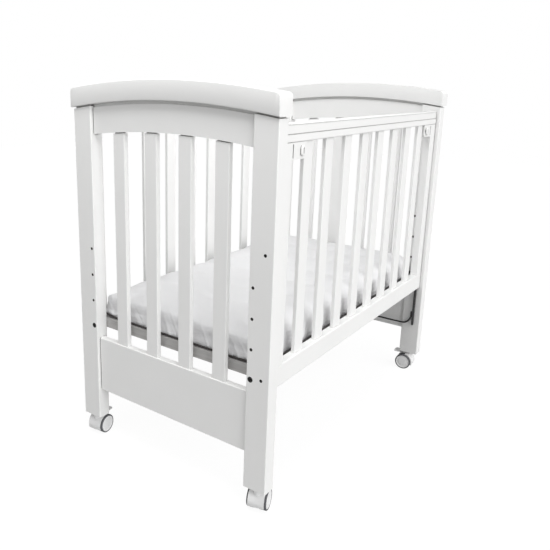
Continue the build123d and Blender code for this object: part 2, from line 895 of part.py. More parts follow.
def hood():
    """The moulded hood: a fender over both wheels, a middle web and the stem boss."""
    body = slab(fender(), hood_width) + slab(hood_web(), web_thickness)
    body += pin_z(wheel_radius + wheel_gap, boss_top, 0, 0, boss_radius) - wheel_pockets()
    half_web = web_thickness / 2
    body += pin_y(-half_web, half_web, brake_pin_place, brake_pin_height, brake_boss_radius)
    body -= on_axle(-hood_width, axle_radius, 2 * hood_width)
    body -= pin_z(stem_foot, boss_top + overcut, 0, 0, stem_radius)
    brake_hole = brake_pin_radius + running_clearance
    return body - pin_y(-hood_width, hood_width, brake_pin_place, brake_pin_height, brake_hole)


def wheel_pockets():
    """The space that both wheels turn in, with the web left between them."""
    outside = on_axle(web_thickness / 2, mid_fender(), hood_width)
    return outside + mirror(outside, about=Plane.XZ)


def stem():
    """The steel stem, pressed into the hood and turning in the post's socket."""
    return pin_z(stem_foot, caster_height + stem_reach, 0, 0, stem_radius)


def axle():
    """The steel axle, fixed in the hood's web."""
    return on_axle(-axle_bite, axle_radius, 2 * axle_bite)


def socket():
    """The plastic socket in the post that the stem turns in."""
    outer = stem_radius + socket_wall
    top = caster_height + stem_reach + socket_cap
    body = pin_z(caster_height - socket_flange, top, 0, 0, outer)
    body += pin_z(caster_height - socket_flange, caster_height, 0, 0, socket_flange_radius)
    bore = stem_radius + running_clearance
    return body - pin_z(caster_height - socket_flange - overcut, caster_height + stem_reach, 0, 0, bore)


def brake_lever():
    """The foot lever behind the hood, hinged on a cross pin in the web."""
    half, u, z = brake_width / 2, brake_pin_place, brake_pin_height
    top = z + brake_boss_radius + seat_gap
    plate = block((u - brake_boss_radius, u + brake_length), (-half, half), (top, top + brake_thickness))
    plate = fillet(plate.edges().filter_by(Axis.Z).sort_by(Axis.X)[-2:], brake_corner)
    start = web_thickness / 2 + seat_gap
    reach = start + brake_lug_width
    lug = pin_y(start, reach, u, z, brake_lug_radius)
    lug += block((u - brake_lug_radius, u + brake_lug_radius), (start, reach), (z, top + overcut))
    return plate + lug + mirror(lug, about=Plane.XZ) + pin_y(-reach, reach, u, z, brake_pin_radius)


def place_caster(shape, name):
    """Turns a caster piece to its rest angle and sets it under the named post."""
    x = -caster_x if name.startswith("foot") else caster_x
    y = -caster_y if name.endswith("front") else caster_y
    return Pos(x, y, 0) * Rot(0, 0, caster_turns[name]) * shape


# ---------------------------------------------------------------- the sub-parts
def save_ends():
    """Posts, cap rails, boards and slats of both ends."""
    for name, post in (("post_foot_front", front_post()), ("post_foot_back", back_post())):
        save(name, post)
        save(name.replace("foot", "head"), at_head(post))
    for name, piece in (
        ("cap_rail", cap_rail()), ("top_panel", top_panel()), ("lower_board", lower_board()),
    ):
        save(f"{name}_foot", piece)
        save(f"{name}_head", at_head(piece))
    slats = [end_slat(y) for y in end_slat_places()]
    save("end_slats_foot", *slats)
    save("end_slats_head", *[at_head(slat) for slat in slats])


def save_drop_side():
    """The sliding side with its latches."""
    save("drop_top_rail", drop_top_rail())
    save("drop_bottom_rail", drop_bottom_rail())
    save("drop_stiles", drop_stile(), at_head(drop_stile()))
    save("drop_slats", *side_slats(drop_half_length, latch_y))
    save("teething_rail", teething_rail())
    shoes = [guide_shoe(level) for level in shoe_levels]
    save("guide_shoes", *shoes, *[at_head(shoe) for shoe in shoes])
    save("latch_housings", latch_housing(), at_head(latch_housing()))
    for name, piece in (("latch_pin", latch_pin()), ("latch_knob", latch_knob())):
        save(f"{name}_foot", piece)
        save(f"{name}_head", at_head(piece))


def save_back_side():
    """The fixed side."""
    save("back_top_rail", back_rail((side_rail_bottom_z, side_top_z), pocket_at_top=False))
    save("back_bottom_rail", back_rail((side_bottom_z, side_bottom_rail_top_z), pocket_at_top=True))
    stile = side_stile(half_interior, back_middle())
    save("back_stiles", stile, at_head(stile))
    save("back_slats", *side_slats(half_interior, back_middle()))
    dowels = back_dowels()
    save("back_dowels", *dowels, *[at_head(dowel) for dowel in dowels])


def save_rods():
    """Guide rods, link rods, clips and screws."""
    save("guide_rods", guide_rod(), at_head(guide_rod()))
    save("link_rods", link_rod(), at_head(link_rod()))
    clips = [rod_clip(y) for y in clip_places()]
    save("rod_clips", *clips, *[at_head(clip) for clip in clips])
    bolts = [rod_bolt(level) for level in rod_bosses]
    save("rod_bolts", *bolts, *[at_head(bolt) for bolt in bolts])


def save_bed():
    """The bed base, its bolts and the mattress."""
    rail = base_side_rail()
    save("base_side_rails", rail, at_back(rail))
    save("base_end_rails", base_end_rail(), at_head(base_end_rail()))
    save("base_slats", *base_slats())
    for name, piece in (("base_bolts", base_bolt()), ("base_nuts", base_nut())):
        pair = [piece, at_back(piece)]
        save(name, *pair, *[at_head(one) for one in pair])
    save("mattress", mattress())


def save_casters():
    """Four casters in their sockets."""
    save("caster_sockets", *[place_caster(socket(), name) for name in caster_turns])
    wheels = {"caster_tyres": tyre(), "caster_hubs": hub()}
    singles = {"caster_hood": hood(), "caster_brake": brake_lever()}
    for name in caster_turns:
        for kind, piece in singles.items():
            save(f"{kind}_{name}", place_caster(piece, name))
        save(f"caster_steel_{name}", place_caster(stem(), name), place_caster(axle(), name))
        for kind, piece in wheels.items():
            pair = (piece, mirror(piece, about=Plane.XZ))
            save(f"{kind}_{name}", *[place_caster(one, name) for one in pair])


os.makedirs("parts", exist_ok=True)
save_ends()
save_drop_side()
save_back_side()
save_rods()
save_bed()
save_casters()
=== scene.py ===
"""A white baby cot with a drop side: its materials, its mattress, and the studio round it."""

from __future__ import annotations

import logging
import math
import sys
from collections.abc import Callable, Iterable
from dataclasses import dataclass, field
from enum import Enum

import bpy
from mathutils import Matrix, Vector, noise

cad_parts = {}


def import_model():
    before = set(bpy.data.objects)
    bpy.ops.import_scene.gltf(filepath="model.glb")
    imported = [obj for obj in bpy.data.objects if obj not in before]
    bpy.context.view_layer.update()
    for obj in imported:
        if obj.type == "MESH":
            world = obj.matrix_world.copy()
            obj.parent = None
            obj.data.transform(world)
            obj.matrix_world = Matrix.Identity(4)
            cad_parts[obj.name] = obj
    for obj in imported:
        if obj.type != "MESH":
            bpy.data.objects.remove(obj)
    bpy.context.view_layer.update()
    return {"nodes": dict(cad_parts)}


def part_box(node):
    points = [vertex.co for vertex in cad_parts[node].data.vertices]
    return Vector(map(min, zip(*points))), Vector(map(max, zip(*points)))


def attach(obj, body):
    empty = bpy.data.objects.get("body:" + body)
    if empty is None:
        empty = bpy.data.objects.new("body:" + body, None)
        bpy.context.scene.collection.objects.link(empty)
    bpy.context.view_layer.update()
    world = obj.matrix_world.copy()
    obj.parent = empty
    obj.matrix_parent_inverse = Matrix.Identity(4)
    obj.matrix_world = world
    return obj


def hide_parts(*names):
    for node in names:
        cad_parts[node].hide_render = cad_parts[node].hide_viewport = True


LOG = logging.getLogger("cot")
MM = 0.001
# Points closer than TOUCH lie on the same plane, and points closer than MERGE are one.
TOUCH = 0.01 * MM
MERGE = 0.001 * MM
# A Wave texture passes 20 radians in a metre at scale 1, so one wave a metre takes this scale.
SCALE_PER_WAVE = 6.28 / 20
# The sockets of a Mix node that hold its two colours, and the one that gives the mixed colour.
MIX_A, MIX_B, MIXED = 6, 7, 2


# ---------------------------------------------------------------- colour and nodes
def linear(hex_colour: str, alpha: float = 1.0) -> tuple[float, float, float, float]:
    """Turns an sRGB hex colour into linear light.

    Args:
        hex_colour: Six hex digits, with or without a leading #.
        alpha: The fourth value, kept as it is.

    Returns:
        Red, green, blue and alpha, ready for a node's colour socket.
    """
    digits = hex_colour.lstrip("#")
    values = [int(digits[i : i + 2], 16) / 255 for i in (0, 2, 4)]
    light = [v / 12.92 if v <= 0.04045 else ((v + 0.055) / 1.055) ** 2.4 for v in values]
    return (*light, alpha)


class NodeGraph:
    """One material's or world's node tree, emptied and filled again."""

    def __init__(self, owner: bpy.types.Material | bpy.types.World) -> None:
        """Empties the owner's node tree.

        Args:
            owner: The material or world whose nodes are built.
        """
        owner.use_nodes = True
        self.tree = owner.node_tree
        self.tree.nodes.clear()

    def add(self, kind: str, inputs: dict | None = None, **settings: object) -> bpy.types.Node:
        """Adds a node with its settings, values and links.

        Args:
            kind: The node's type, without the ShaderNode prefix.
            inputs: Socket name or index to a value, or to the output socket it is linked from.
            **settings: The node's own properties.

        Returns:
            The new node.
        """
        node = self.tree.nodes.new(f"ShaderNode{kind}")
        for name, value in settings.items():
            setattr(node, name, value)
        for key, value in (inputs or {}).items():
            if isinstance(value, bpy.types.NodeSocket):
                self.tree.links.new(value, node.inputs[key])
            else:
                node.inputs[key].default_value = value
        return node


@dataclass(frozen=True)
class PaintedJointShade:
    """Painted shade in joints, seams and tight corners: darkens them by how little of their
    surroundings they see, and so draws them as thin lines.

    A corner that sees less than the deep share of its surroundings takes the full painted
    shade, and one that sees more than the open share is left unshaded.
    """

    reach_mm: float = 8.0
    # The colour of the painted shade in the deepest joints.
    colour: str = "55514E"
    deep: float = 0.15
    open: float = 0.62
    rays: int = 8

    def over(self, graph: NodeGraph, clean: bpy.types.NodeSocket | tuple) -> bpy.types.NodeSocket:
        """Paints the joint shade over a colour.

        Args:
            graph: The material's nodes.
            clean: The colour of the open surface, or its socket.

        Returns:
            The colour with its painted shade.
        """
        # Painted shade: the ambient occlusion darkens the colour where little of the surroundings
        # is seen.
        room = graph.add("AmbientOcclusion", {"Distance": self.reach_mm * MM}, samples=self.rays)
        share = graph.add(
            "MapRange",
            {"Value": room.outputs["AO"], "From Min": self.deep, "From Max": self.open},
        )
        mixed = graph.add(
            "Mix",
            {"Factor": share.outputs[0], MIX_A: linear(self.colour), MIX_B: clean},
            data_type="RGBA",
        )
        return mixed.outputs[MIXED]


class Grain(Enum):
    """The way a piece's long fibres run."""

    ALONG_X = 0
    ALONG_Y = 1
    ALONG_Z = 2

    def stretch(self, fine: float, long: float) -> tuple[float, float, float]:
        """Scales for a Mapping node that draw a pattern out along the fibres.

        Args:
            fine: Scale across the fibres.
            long: Scale along them.

        Returns:
            The three scales.
        """
        scales = [fine, fine, fine]
        scales[self.value] = long
        return (scales[0], scales[1], scales[2])


# ---------------------------------------------------------------- finishes
@dataclass(frozen=True)
class BoreRows:
    """The rows of bolt holes along each post, whose walls take a painted shade."""

    aside_mm: float = 242.4
    lowest_mm: float = 392.5
    pitch_mm: float = 68.5
    count: int = 3
    radius_mm: float = 3.6

    def inside(self, graph: NodeGraph, place: bpy.types.NodeSocket) -> bpy.types.NodeSocket:
        """Tells the walls of the holes from the rest of a post.

        Args:
            graph: The material's nodes.
            place: Where a point is, in object coordinates.

        Returns:
            A socket that is 1 in a hole and 0 elsewhere.
        """
        parts = graph.add("SeparateXYZ", {0: place}).outputs
        side = graph.add("Math", {0: parts[1]}, operation="ABSOLUTE").outputs[0]
        across = graph.add("Math", {0: side, 1: self.aside_mm * MM}, operation="SUBTRACT")
        up = graph.add("Math", {0: parts[2], 1: self.lowest_mm * MM}, operation="SUBTRACT")
        rows = graph.add("Math", {0: up.outputs[0], 1: self.pitch_mm * MM}, operation="DIVIDE")
        rows = graph.add("Math", {0: rows.outputs[0]}, operation="ROUND")
        rows = graph.add("Clamp", {0: rows.outputs[0], 1: 0.0, 2: self.count - 1.0})
        step = graph.add(
            "Math",
            {0: rows.outputs[0], 1: -self.pitch_mm * MM, 2: up.outputs[0]},
            operation="MULTIPLY_ADD",
        )
        flat = graph.add("CombineXYZ", {0: across.outputs[0], 1: step.outputs[0]})
        away = graph.add("VectorMath", {0: flat.outputs[0]}, operation="LENGTH")
        near = graph.add(
            "Math", {0: away.outputs[1], 1: self.radius_mm * MM}, operation="LESS_THAN"
        )
        return near.outputs[0]


@dataclass(frozen=True)
class SprayedBeech:
    """Solid beech, sanded and sprayed with white satin lacquer.

    Two coats leave a smooth film through which the open grain prints as faint streaks, so
    the gloss breaks up a little along the fibres while the colour stays an even white.
    """

    grain: Grain
    white: str = "F5F5F4"
    shade: str = "F0F0EF"
    roughness: float = 0.42
    uneven: tuple[float, float] = (-0.05, 0.07)
    pore_mm: float = 1.6
    streak_mm: float = 90.0
    clouds_per_metre: float = 7.0
    bores: BoreRows | None = None
    # Near-black painted shade for the walls of the bolt holes.
    hole_shade: str = "2A211B"

    def material(self) -> bpy.types.Material:
        """Builds the lacquered wood, with painted shade in its bolt holes where it has them."""
        drilled = "drilled_" if self.bores else ""
        made = bpy.data.materials.new(f"sprayed_beech_{drilled}{self.grain.name.lower()}")
        graph = NodeGraph(made)
        place = graph.add("TexCoord").outputs["Object"]
        fine, long = 1 / (self.pore_mm * MM), 1 / (self.streak_mm * MM)
        stretched = graph.add("Mapping", {"Vector": place, "Scale": self.grain.stretch(fine, long)})
        pores = graph.add(
            "TexNoise",
            {"Vector": stretched.outputs[0], "Scale": 1.0, "Detail": 3.0, "Roughness": 0.6},
        )
        cloud = graph.add(
            "TexNoise", {"Vector": place, "Scale": self.clouds_per_metre, "Detail": 2.0}
        )
        tint = graph.add(
            "Mix",
            {"Factor": cloud.outputs["Fac"], MIX_A: linear(self.white), MIX_B: linear(self.shade)},
            data_type="RGBA",
        )
        # Painted shade: the walls of the bolt holes are coloured near-black for the shade inside
        # them.
        if self.bores:
            hole = self.bores.inside(graph, place)
            tint = graph.add(
                "Mix",
                {"Factor": hole, MIX_A: tint.outputs[MIXED], MIX_B: linear(self.hole_shade)},
                data_type="RGBA",
            )
        smoothest, roughest = (self.roughness + stray for stray in self.uneven)
        gloss = graph.add(
            "MapRange", {"Value": pores.outputs["Fac"], "To Min": smoothest, "To Max": roughest}
        )
        relief = graph.add(
            "Bump", {"Height": pores.outputs["Fac"], "Strength": 0.12, "Distance": 0.15 * MM}
        )
        film = graph.add(
            "BsdfPrincipled",
            {
                # Painted shade: the lacquer's colour is darkened in joints and corners by ambient
                # occlusion.
                "Base Color": PaintedJointShade().over(graph, tint.outputs[MIXED]),
                "Roughness": gloss.outputs[0],
                "IOR": 1.5,
                "Normal": relief.outputs[0],
            },
        )
        graph.add("OutputMaterial", {"Surface": film.outputs[0]})
        return made


@dataclass(frozen=True)
class BarePine:
    """Planed pine left unpainted for the bed base: matt, greyish, with visible grain lines."""

    grain: Grain
    early: str = "C6C5C4"
    late: str = "9A9896"
    ring_mm: float = 5.0
    drawn_out: float = 30
    roughness: float = 0.72

    def material(self) -> bpy.types.Material:
        """Builds the bare wood."""
        made = bpy.data.materials.new(f"bare_pine_{self.grain.name.lower()}")
        graph = NodeGraph(made)
        place = graph.add("TexCoord").outputs["Object"]
        ring = 1 / (self.ring_mm * MM)
        scales = self.grain.stretch(ring, ring / self.drawn_out)
        stretched = graph.add("Mapping", {"Vector": place, "Scale": scales})
        rings = graph.add(
            "TexNoise",
            {"Vector": stretched.outputs[0], "Scale": 1.0, "Detail": 5.0, "Roughness": 0.65},
        )
        ramp = graph.add(
            "Mix",
            {"Factor": rings.outputs["Fac"], MIX_A: linear(self.early), MIX_B: linear(self.late)},
            data_type="RGBA",
        )
        relief = graph.add(
            "Bump", {"Height": rings.outputs["Fac"], "Strength": 0.35, "Distance": 0.3 * MM}
        )
        wood = graph.add(
            "BsdfPrincipled",
            {
                "Base Color": ramp.outputs[MIXED],
                "Roughness": self.roughness,
                "Normal": relief.outputs[0],
            },
        )
        graph.add("OutputMaterial", {"Surface": wood.outputs[0]})
        return made


@dataclass(frozen=True)
class MouldedPlastic:
    """An injection-moulded plastic with a fine spark-eroded skin.

    The tool's texture scatters the highlight, and the flow of the melt leaves its gloss a
    little uneven over a centimetre or two.
    """

    name: str
    colour: str
    roughness: float = 0.35
    ior: float = 1.49
    skin_mm: float = 0.8
    relief: float = 0.1
    flow_mm: float = 14.0
    uneven: tuple[float, float] = (-0.06, 0.06)

    def material(self) -> bpy.types.Material:
        """Builds the plastic."""
        made = bpy.data.materials.new(self.name)
        graph = NodeGraph(made)
        place = graph.add("TexCoord").outputs["Object"]
        skin = graph.add(
            "TexNoise", {"Vector": place, "Scale": 1 / (self.skin_mm * MM), "Detail": 2.0}
        )
        flow = graph.add(
            "TexNoise", {"Vector": place, "Scale": 1 / (self.flow_mm * MM), "Detail": 1.0}
        )
        smoothest, roughest = (self.roughness + stray for stray in self.uneven)
        gloss = graph.add(
            "MapRange", {"Value": flow.outputs["Fac"], "To Min": smoothest, "To Max": roughest}
        )
        relief = graph.add(
            "Bump", {"Height": skin.outputs["Fac"], "Strength": self.relief, "Distance": 0.1 * MM}
        )
        body = graph.add(
            "BsdfPrincipled",
            {
                # Painted shade: the plastic's colour is darkened in seams and corners by ambient
                # occlusion.
                "Base Color": PaintedJointShade().over(graph, linear(self.colour)),
                "Roughness": gloss.outputs[0],
                "IOR": self.ior,
                "Normal": relief.outputs[0],
            },
        )
        graph.add("OutputMaterial", {"Surface": body.outputs[0]})
        return made


@dataclass(frozen=True)
class CoatedSteel:
    """Steel under a coat or a plating: powder coat, black oxide or bright zinc.

    A powder coat flows out with a slight orange peel, black oxide stays almost matt, and
    zinc keeps the drawn bar's faint mottle.
    """

    name: str
    colour: str
    metallic: float
    roughness: float
    peel_mm: float = 1.5
    relief: float = 0.15
    uneven: tuple[float, float] = (-0.05, 0.08)

    def material(self) -> bpy.types.Material:
        """Builds the coated steel."""
        made = bpy.data.materials.new(self.name)
        graph = NodeGraph(made)
        place = graph.add("TexCoord").outputs["Object"]
        peel = graph.add(
            "TexNoise", {"Vector": place, "Scale": 1 / (self.peel_mm * MM), "Detail": 2.0}
        )
        smoothest, roughest = (self.roughness + stray for stray in self.uneven)
        gloss = graph.add(
            "MapRange", {"Value": peel.outputs["Fac"], "To Min": smoothest, "To Max": roughest}
        )
        relief = graph.add(
            "Bump", {"Height": peel.outputs["Fac"], "Strength": self.relief, "Distance": 0.1 * MM}
        )
        coat = graph.add(
            "BsdfPrincipled",
            {
                "Base Color": linear(self.colour),
                "Metallic": self.metallic,
                "Roughness": gloss.outputs[0],
                "Normal": relief.outputs[0],
            },
        )
        graph.add("OutputMaterial", {"Surface": coat.outputs[0]})
        return made


@dataclass(frozen=True)
class WovenCotton:
    """A plain-weave cotton percale cover: matt, with soft fuzz that lifts the edges.

    Its threads are far finer than the view can show, so the weave is drawn at four times
    its real spacing and kept faint.
    """

    name: str
    colour: str
    thread_mm: float = 1.2
    roughness: float = 0.9
    fuzz: float = 0.25
    crumples_per_metre: float = 22.0

    def material(self) -> bpy.types.Material:
        """Builds the cloth."""
        made = bpy.data.materials.new(self.name)
        graph = NodeGraph(made)
        place = graph.add("TexCoord").outputs["Object"]
        threads_per_metre = 1 / (self.thread_mm * MM)
        weave_scale = threads_per_metre * SCALE_PER_WAVE
        warp = graph.add("TexWave", {"Vector": place, "Scale": weave_scale}, bands_direction="X")
        weft = graph.add("TexWave", {"Vector": place, "Scale": weave_scale}, bands_direction="Y")
        weave = graph.add(
            "Math", {0: warp.outputs["Fac"], 1: weft.outputs["Fac"]}, operation="MAXIMUM"
        )
        crumples = self.crumples_per_metre
        soft = graph.add(
            "TexNoise", {"Vector": place, "Scale": crumples, "Detail": 4.0, "Roughness": 0.6}
        )
        tint = graph.add("MapRange", {"Value": soft.outputs["Fac"], "To Min": 0.97, "To Max": 1.0})
        colour = graph.add(
            "Mix",
            {"Factor": 1.0, MIX_A: linear(self.colour), MIX_B: tint.outputs[0]},
            data_type="RGBA",
            blend_type="MULTIPLY",
        )
        threads = graph.add(
            "Bump", {"Height": weave.outputs[0], "Strength": 0.15, "Distance": 0.2 * MM}
        )
        wrinkles = graph.add(
            "Bump",
            {
                "Height": soft.outputs["Fac"],
                "Strength": 0.3,
                "Distance": 3 * MM,
                "Normal": threads.outputs[0],
            },
        )
        cloth = graph.add(
            "BsdfPrincipled",
            {
                "Base Color": colour.outputs[MIXED],
                "Roughness": self.roughness,
                "Sheen Weight": self.fuzz,
                "Sheen Roughness": 0.6,
                "Normal": wrinkles.outputs[0],
            },
        )
        graph.add("OutputMaterial", {"Surface": cloth.outputs[0]})
        return made


class Finishes:
    """Every finish on the cot, each built once."""

    def __init__(self) -> None:
        """Builds the materials."""
        self.paint = {grain: SprayedBeech(grain).material() for grain in Grain}
        self.post = SprayedBeech(Grain.ALONG_Z, bores=BoreRows()).material()
        self.pine = {grain: BarePine(grain).material() for grain in (Grain.ALONG_X, Grain.ALONG_Y)}
        teething = MouldedPlastic("acetal_teething_rail", "F2F2F1", 0.3, relief=0.05)
        self.teething = teething.material()
        self.latch = MouldedPlastic("abs_latch", "F1F1F0", 0.32).material()
        self.nylon = MouldedPlastic("nylon_natural", "E9E8E4", 0.5, 1.53).material()
        self.hood = MouldedPlastic("nylon_caster_white", "EDEDED", 0.42, 1.53).material()
        self.hub = MouldedPlastic("polypropylene_hub_white", "F2F2F2", 0.38).material()
        tyre = MouldedPlastic("thermoplastic_rubber_tyre", "5E5F62", 0.75, 1.5, 0.6, 0.3)
        self.tyre = tyre.material()
        self.dowel = BarePine(Grain.ALONG_X, "C9B08A", "B59A72").material()
        self.rod = CoatedSteel("powder_coated_steel_black", "151517", 0.0, 0.4).material()
        self.screw = CoatedSteel("black_oxide_screw", "1B1A1A", 0.6, 0.55).material()
        self.zinc = CoatedSteel("zinc_plated_steel", "B9BBBE", 1.0, 0.32).material()
        self.cotton = WovenCotton("cotton_cover_white", "E9E9EA").material()
        self.piping = WovenCotton("piping_dark_brown", "201816", 0.8, 0.85).material()


# ---------------------------------------------------------------- modelling helpers
def deselect_all() -> None:
    """Leaves object mode with nothing selected."""
    if bpy.context.object is not None and bpy.context.object.mode != "OBJECT":
        bpy.ops.object.mode_set(mode="OBJECT")
    bpy.ops.object.select_all(action="DESELECT")


def select_only(piece: bpy.types.Object) -> None:
    """Selects one piece and makes it the active one.

    Args:
        piece: The object.
    """
    deselect_all()
    piece.select_set(True)
    bpy.context.view_layer.objects.active = piece


def start_piece(name: str) -> bpy.types.Object:
    """Names the primitive just added and puts its place into its mesh.

    Args:
        name: The piece's name.

    Returns:
        The active object, at the origin.
    """
    piece = bpy.context.object
    piece.name = piece.data.name = name
    bpy.ops.object.transform_apply(location=True, rotation=True, scale=True)
    return piece


def select_edges(piece: bpy.types.Object, wanted: Callable[[Vector, Vector], bool]) -> None:
    """Selects edges in edit mode by where their two ends are.

    Args:
        piece: The active object.
        wanted: Tells from an edge's two ends whether it is selected.
    """
    bpy.ops.object.mode_set(mode="EDIT")
    bpy.ops.mesh.select_mode(type="EDGE")
    bpy.ops.mesh.select_all(action="DESELECT")
    bpy.ops.object.mode_set(mode="OBJECT")
    mesh = piece.data
    for edge in mesh.edges:
        ends = [mesh.vertices[i].co for i in edge.vertices]
        edge.select = wanted(*ends)
    bpy.ops.object.mode_set(mode="EDIT")


def bevel_selected(width: float, segments: int) -> None:
    """Rounds the selected edges and goes back to object mode.

    Args:
        width: How far the rounding reaches, in metres.
        segments: How many faces it has.
    """
    bpy.ops.mesh.bevel(offset=width, segments=segments, affect="EDGES", clamp_overlap=True)
    bpy.ops.object.mode_set(mode="OBJECT")


def smooth(piece: bpy.types.Object, degrees: float) -> None:
    """Shades a piece smooth except at edges sharper than an angle.

    Args:
        piece: The object to shade.
        degrees: The angle.
    """
    select_only(piece)
    bpy.ops.object.shade_smooth_by_angle(angle=math.radians(degrees))


def dress(piece: bpy.types.Object, material: bpy.types.Material) -> None:
    """Gives a piece one material.

    Args:
        piece: The object.
        material: Its only material.
    """
    piece.data.materials.clear()
    piece.data.materials.append(material)


# ---------------------------------------------------------------- sub-assemblies
@dataclass
class CapRails:
    """The arched rails over the two ends, shaped with soft tops and round corners.

    Each is swept past its ends by the overrun, in radians, and then cut off plumb.
    """

    finishes: Finishes
    underside_radius: float = 1.8719
    height: float = 44 * MM
    corner: float = 20 * MM
    corner_faces: int = 8
    top_round: float = 13 * MM
    top_faces: int = 6
    bottom_round: float = 3 * MM
    bottom_faces: int = 2
    steps: int = 56
    overrun: float = 0.01
    sharp_from: float = 40

    def build(self) -> None:
        """Makes both rails and puts them in place of the plain ones."""
        for end in ("foot", "head"):
            node = f"cap_rail_{end}"
            rail = self.rail(f"arched_cap_{end}", *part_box(node))
            dress(rail, self.finishes.paint[Grain.ALONG_Y])
            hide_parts(node)
            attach(rail, "frame")
            LOG.info("%s: %d faces", rail.name, len(rail.data.polygons))

    def rail(self, name: str, low: Vector, high: Vector) -> bpy.types.Object:
        """Spins the rail's section along its arc, cuts the ends plumb and rounds the edges.

        Args:
            name: The new piece's name.
            low: Lowest corner of the space it fills.
            high: Highest corner of that space.

        Returns:
            The finished rail.
        """
        centre = Vector(((low.x + high.x) / 2, 0.0, high.z - self.height - self.underside_radius))
        reach = math.asin(high.y / self.underside_radius) + self.overrun
        deselect_all()
        bpy.ops.mesh.primitive_plane_add(size=1.0, location=(0, 0, 0))
        piece = bpy.context.object
        piece.scale = (high.x - low.x, self.height, 1.0)
        bpy.ops.object.transform_apply(location=False, rotation=False, scale=True)
        piece.rotation_euler = (math.pi / 2 + reach, 0.0, 0.0)
        middle = self.underside_radius + self.height / 2
        piece.location = centre + Vector((0, -math.sin(reach) * middle, math.cos(reach) * middle))
        piece = start_piece(name)
        bpy.ops.object.mode_set(mode="EDIT")
        bpy.ops.mesh.select_all(action="SELECT")
        bpy.ops.mesh.spin(steps=self.steps, angle=2 * reach, center=centre, axis=(1, 0, 0))
        bpy.ops.mesh.select_all(action="SELECT")
        bpy.ops.mesh.remove_doubles(threshold=MERGE)
        for side in (low.y, high.y):
            bpy.ops.mesh.select_all(action="SELECT")
            bpy.ops.mesh.bisect(
                plane_co=(0, side, 0),
                plane_no=(0, 1, 0),
                use_fill=True,
                clear_inner=side < 0,
                clear_outer=side > 0,
            )
        bpy.ops.mesh.select_all(action="SELECT")
        bpy.ops.mesh.normals_make_consistent(inside=False)
        self.round_corners(piece, low, high, centre)
        smooth(piece, self.sharp_from)
        return piece

    def round_corners(
        self, piece: bpy.types.Object, low: Vector, high: Vector, centre: Vector
    ) -> None:
        """Rounds the top corners, then the long edges.

        Args:
            piece: The rail.
            low: Lowest corner of its space.
            high: Highest corner of its space.
            centre: Centre of its arc.
        """
        halfway_up = self.underside_radius + self.height / 2
        underside = self.underside_radius + 10 * TOUCH

        def on_top(point: Vector) -> bool:
            """Tells whether a point is on the rail's upper arc or its rounded corner."""
            return math.hypot(point.y, point.z - centre.z) > halfway_up

        def underneath(point: Vector) -> bool:
            """Tells whether a point is on the rail's lower arc."""
            return math.hypot(point.y, point.z - centre.z) < underside

        def at_end(point: Vector) -> bool:
            """Tells whether a point is on an end face."""
            return min(abs(point.y - low.y), abs(point.y - high.y)) < TOUCH

        def on_side(point: Vector) -> bool:
            """Tells whether a point is on a long side."""
            return min(abs(point.x - low.x), abs(point.x - high.x)) < TOUCH

        def lengthwise(a: Vector, b: Vector) -> bool:
            """Tells whether an edge runs along the rail and not across it."""
            return abs(a.x - b.x) < MERGE

        select_edges(
            piece, lambda a, b: all(on_top(p) and at_end(p) for p in (a, b)) and a.x != b.x
        )
        bevel_selected(self.corner, self.corner_faces)
        select_edges(
            piece,
            lambda a, b: all(on_side(p) and on_top(p) for p in (a, b)) and lengthwise(a, b),
        )
        bevel_selected(self.top_round, self.top_faces)
        select_edges(
            piece, lambda a, b: all(underneath(p) for p in (a, b)) and lengthwise(a, b)
        )
        bevel_selected(self.bottom_round, self.bottom_faces)


@dataclass(frozen=True)
class RoundedOutline:
    """A rectangle with round corners, seen in plan and walked by its length."""

    half_x: float
    half_y: float
    corner: float

    def at(self, share: float) -> tuple[Vector, Vector]:
        """The point and outward direction at a share of the way round.

        Args:
            share: From 0 to 1, counter-clockwise from the middle of the +X side.

        Returns:
            The point and the unit vector that points outwards there, both in plan.
        """
        run_x, run_y = self.half_x - self.corner, self.half_y - self.corner
        arc = math.pi / 2 * self.corner
        walked = share * (4 * (run_x + run_y + arc))
        # For each stretch its length, the turn it starts at, and the sides its start lies on.
        stretches = (
            (run_y, 0.0, 1, 0),
            (arc, 0.0, 1, 1),
            (2 * run_x, 0.25, 1, 1),
            (arc, 0.25, -1, 1),
            (2 * run_y, 0.5, -1, 1),
            (arc, 0.5, -1, -1),
            (2 * run_x, 0.75, -1, -1),
            (arc, 0.75, 1, -1),
            (run_y, 1.0, 1, -1),
        )
        for number, (length, turn, side_x, side_y) in enumerate(stretches):
            if walked <= length or number == len(stretches) - 1:
                break
            walked -= length
        on_bend = number % 2 == 1
        angle = math.tau * turn + (walked / self.corner if on_bend else 0.0)
        outward = Vector((math.cos(angle), math.sin(angle), 0.0))
        forward = Vector((-outward.y, outward.x, 0.0)) * (0.0 if on_bend else walked)
        start = Vector((side_x * run_x, side_y * run_y, 0.0))
        return start + outward * self.corner + forward, outward


@dataclass(frozen=True)
class Drift:
    """A smooth random drift along a seam or over a surface, up to its size either way.

    The seed stands in the next direction of the noise, so that no drift repeats another.
    """

    size: float
    per_metre: tuple[float, ...]
    seed: float = 0.0

    def at(self, *place: float) -> float:
        """The drift at one place.

        Args:
            *place: One distance for each scale of the drift.

        Returns:
            The drift there.
        """
        scaled = [distance * scale for distance, scale in zip(place, self.per_metre)]
        return self.size * noise.noise(Vector((*scaled, self.seed, 0.0)[:3]))


@dataclass(frozen=True)
class Folds:
    """A row of irregular folds across a seam, which push the cloth out or pull it in."""

    push: float
    breadth: float
    seed: float
    sharpness: float = 1.4

    def at(self, along: float) -> float:
        """How far the cloth is pushed out at one place.

        Args:
            along: The distance along the seam, in fold pitches.

        Returns:
            From 0 between folds to the full push at the middle of one.
        """
        value = abs(noise.noise(Vector((along, self.seed, 0.0))))
        return self.push * max(0.0, 1.0 - value / self.breadth) ** self.sharpness


